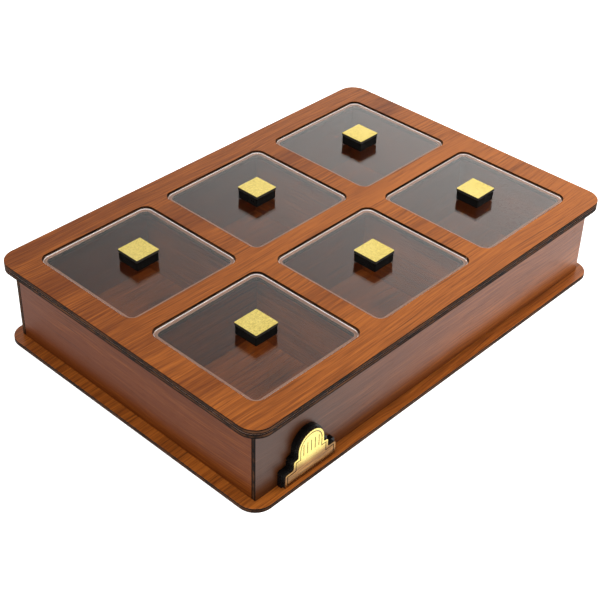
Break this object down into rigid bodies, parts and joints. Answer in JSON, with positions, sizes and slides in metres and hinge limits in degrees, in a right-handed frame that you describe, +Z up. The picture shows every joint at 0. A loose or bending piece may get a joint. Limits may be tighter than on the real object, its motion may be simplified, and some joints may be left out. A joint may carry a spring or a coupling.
{
  "type": "glasses organizer",
  "caption": "Flat rectangular display box with square compartments in rows, each under a clear lift-off lid with a square knob; dark-edged wood-look boards on a projecting base plate.",
  "frame": {"origin": "centre of the base plate underside, on the surface it stands on", "axes": "+X along the long side, -Y towards the front that carries the plaque, +Z up, the way the lids lift"},
  "size_m": [0.32, 0.22, 0.067],
  "materials": {
    "walnut_board": "3 mm fibreboard with a reddish walnut-look facing, semi-gloss, laser-burnt dark edges",
    "clear_acrylic": "clear polished acrylic",
    "black_acrylic": "polished black acrylic",
    "gold_laminate": "satin metallic gold face on a black core"
  },
  "bodies": {
    "box": {"base_plate": "walnut_board", "front_wall": "walnut_board", "back_wall": "walnut_board", "left_wall": "walnut_board", "right_wall": "walnut_board", "long_divider": "walnut_board", "left_cross_divider": "walnut_board", "right_cross_divider": "walnut_board", "ledge_frame": "walnut_board", "top_frame": "walnut_board", "plaque_backing": "black_acrylic", "plaque_face": "gold_laminate"},
    "lid_front_left": {"front_left_lid": "clear_acrylic", "front_left_knob": "black_acrylic", "front_left_knob_cap": "gold_laminate"},
    "lid_front_middle": {"front_middle_lid": "clear_acrylic", "front_middle_knob": "black_acrylic", "front_middle_knob_cap": "gold_laminate"},
    "lid_front_right": {"front_right_lid": "clear_acrylic", "front_right_knob": "black_acrylic", "front_right_knob_cap": "gold_laminate"},
    "lid_back_left": {"back_left_lid": "clear_acrylic", "back_left_knob": "black_acrylic", "back_left_knob_cap": "gold_laminate"},
    "lid_back_middle": {"back_middle_lid": "clear_acrylic", "back_middle_knob": "black_acrylic", "back_middle_knob_cap": "gold_laminate"},
    "lid_back_right": {"back_right_lid": "clear_acrylic", "back_right_knob": "black_acrylic", "back_right_knob_cap": "gold_laminate"}
  },
  "joints": [
    {"name": "front_left_lift", "type": "slide", "parent": "box", "child": "lid_front_left", "axis": [0, 0, 1], "range_m": [0, 0.06]},
    {"name": "front_middle_lift", "type": "slide", "parent": "box", "child": "lid_front_middle", "axis": [0, 0, 1], "range_m": [0, 0.06]},
    {"name": "front_right_lift", "type": "slide", "parent": "box", "child": "lid_front_right", "axis": [0, 0, 1], "range_m": [0, 0.06]},
    {"name": "back_left_lift", "type": "slide", "parent": "box", "child": "lid_back_left", "axis": [0, 0, 1], "range_m": [0, 0.06]},
    {"name": "back_middle_lift", "type": "slide", "parent": "box", "child": "lid_back_middle", "axis": [0, 0, 1], "range_m": [0, 0.06]},
    {"name": "back_right_lift", "type": "slide", "parent": "box", "child": "lid_back_right", "axis": [0, 0, 1], "range_m": [0, 0.06]}
  ]
}
